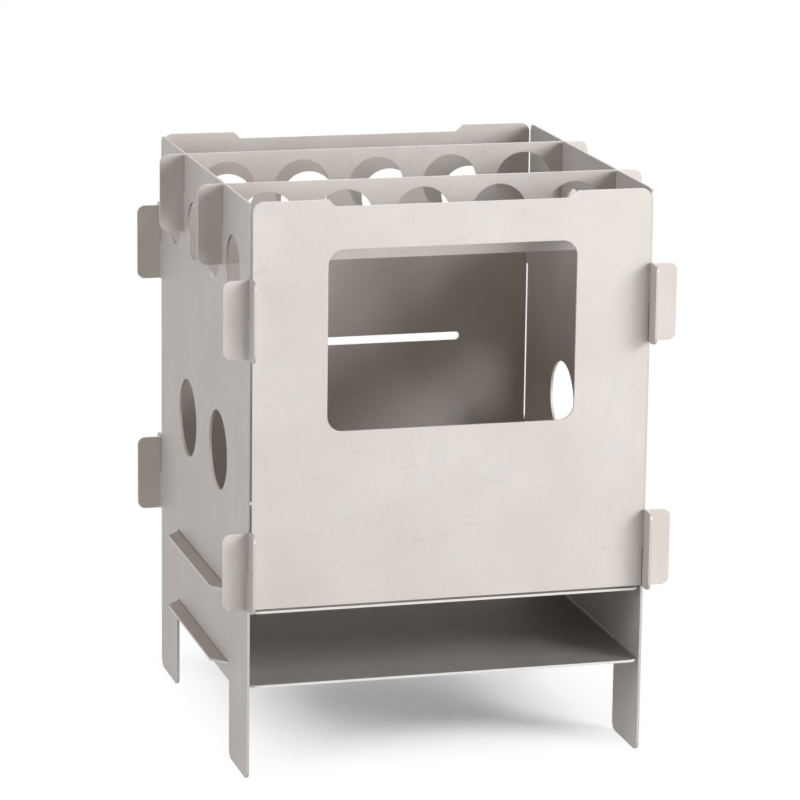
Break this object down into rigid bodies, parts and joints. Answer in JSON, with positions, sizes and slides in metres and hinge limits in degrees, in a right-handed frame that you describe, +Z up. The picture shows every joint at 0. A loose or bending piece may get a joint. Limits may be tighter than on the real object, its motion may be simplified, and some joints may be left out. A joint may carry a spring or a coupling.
{
  "type": "pocket wood stove",
  "caption": "Square take-apart wood stove of thin flat sheets joined by slits and tabs: walls with a feed window and air holes, crossbars, a grate and an ash tray.",
  "frame": {"origin": "on the ground, at the middle of the square that the legs stand on", "axes": "+X to the right seen from the feed window, +Y to the rear, +Z up"},
  "size_m": [0.1462, 0.1424, 0.1848],
  "materials": {
    "titanium": "bead-blasted matt sheet"
  },
  "bodies": {
    "base": {"left_side_panel": "titanium", "right_side_panel": "titanium", "fire_grate": "titanium", "ash_tray": "titanium"},
    "front_wall": {"front_panel": "titanium"},
    "rear_wall": {"rear_panel": "titanium"},
    "front_bar": {"front_crossbar": "titanium"},
    "rear_bar": {"rear_crossbar": "titanium"}
  },
  "joints": [
    {"name": "front_panel_lift", "type": "slide", "parent": "base", "child": "front_wall", "axis": [0, 0, 1], "range_m": [0, 0.026]},
    {"name": "rear_panel_lift", "type": "slide", "parent": "base", "child": "rear_wall", "axis": [0, 0, 1], "range_m": [0, 0.026]},
    {"name": "front_crossbar_lift", "type": "slide", "parent": "base", "child": "front_bar", "axis": [0, 0, 1], "range_m": [0, 0.028]},
    {"name": "rear_crossbar_lift", "type": "slide", "parent": "base", "child": "rear_bar", "axis": [0, 0, 1], "range_m": [0, 0.028]}
  ]
}
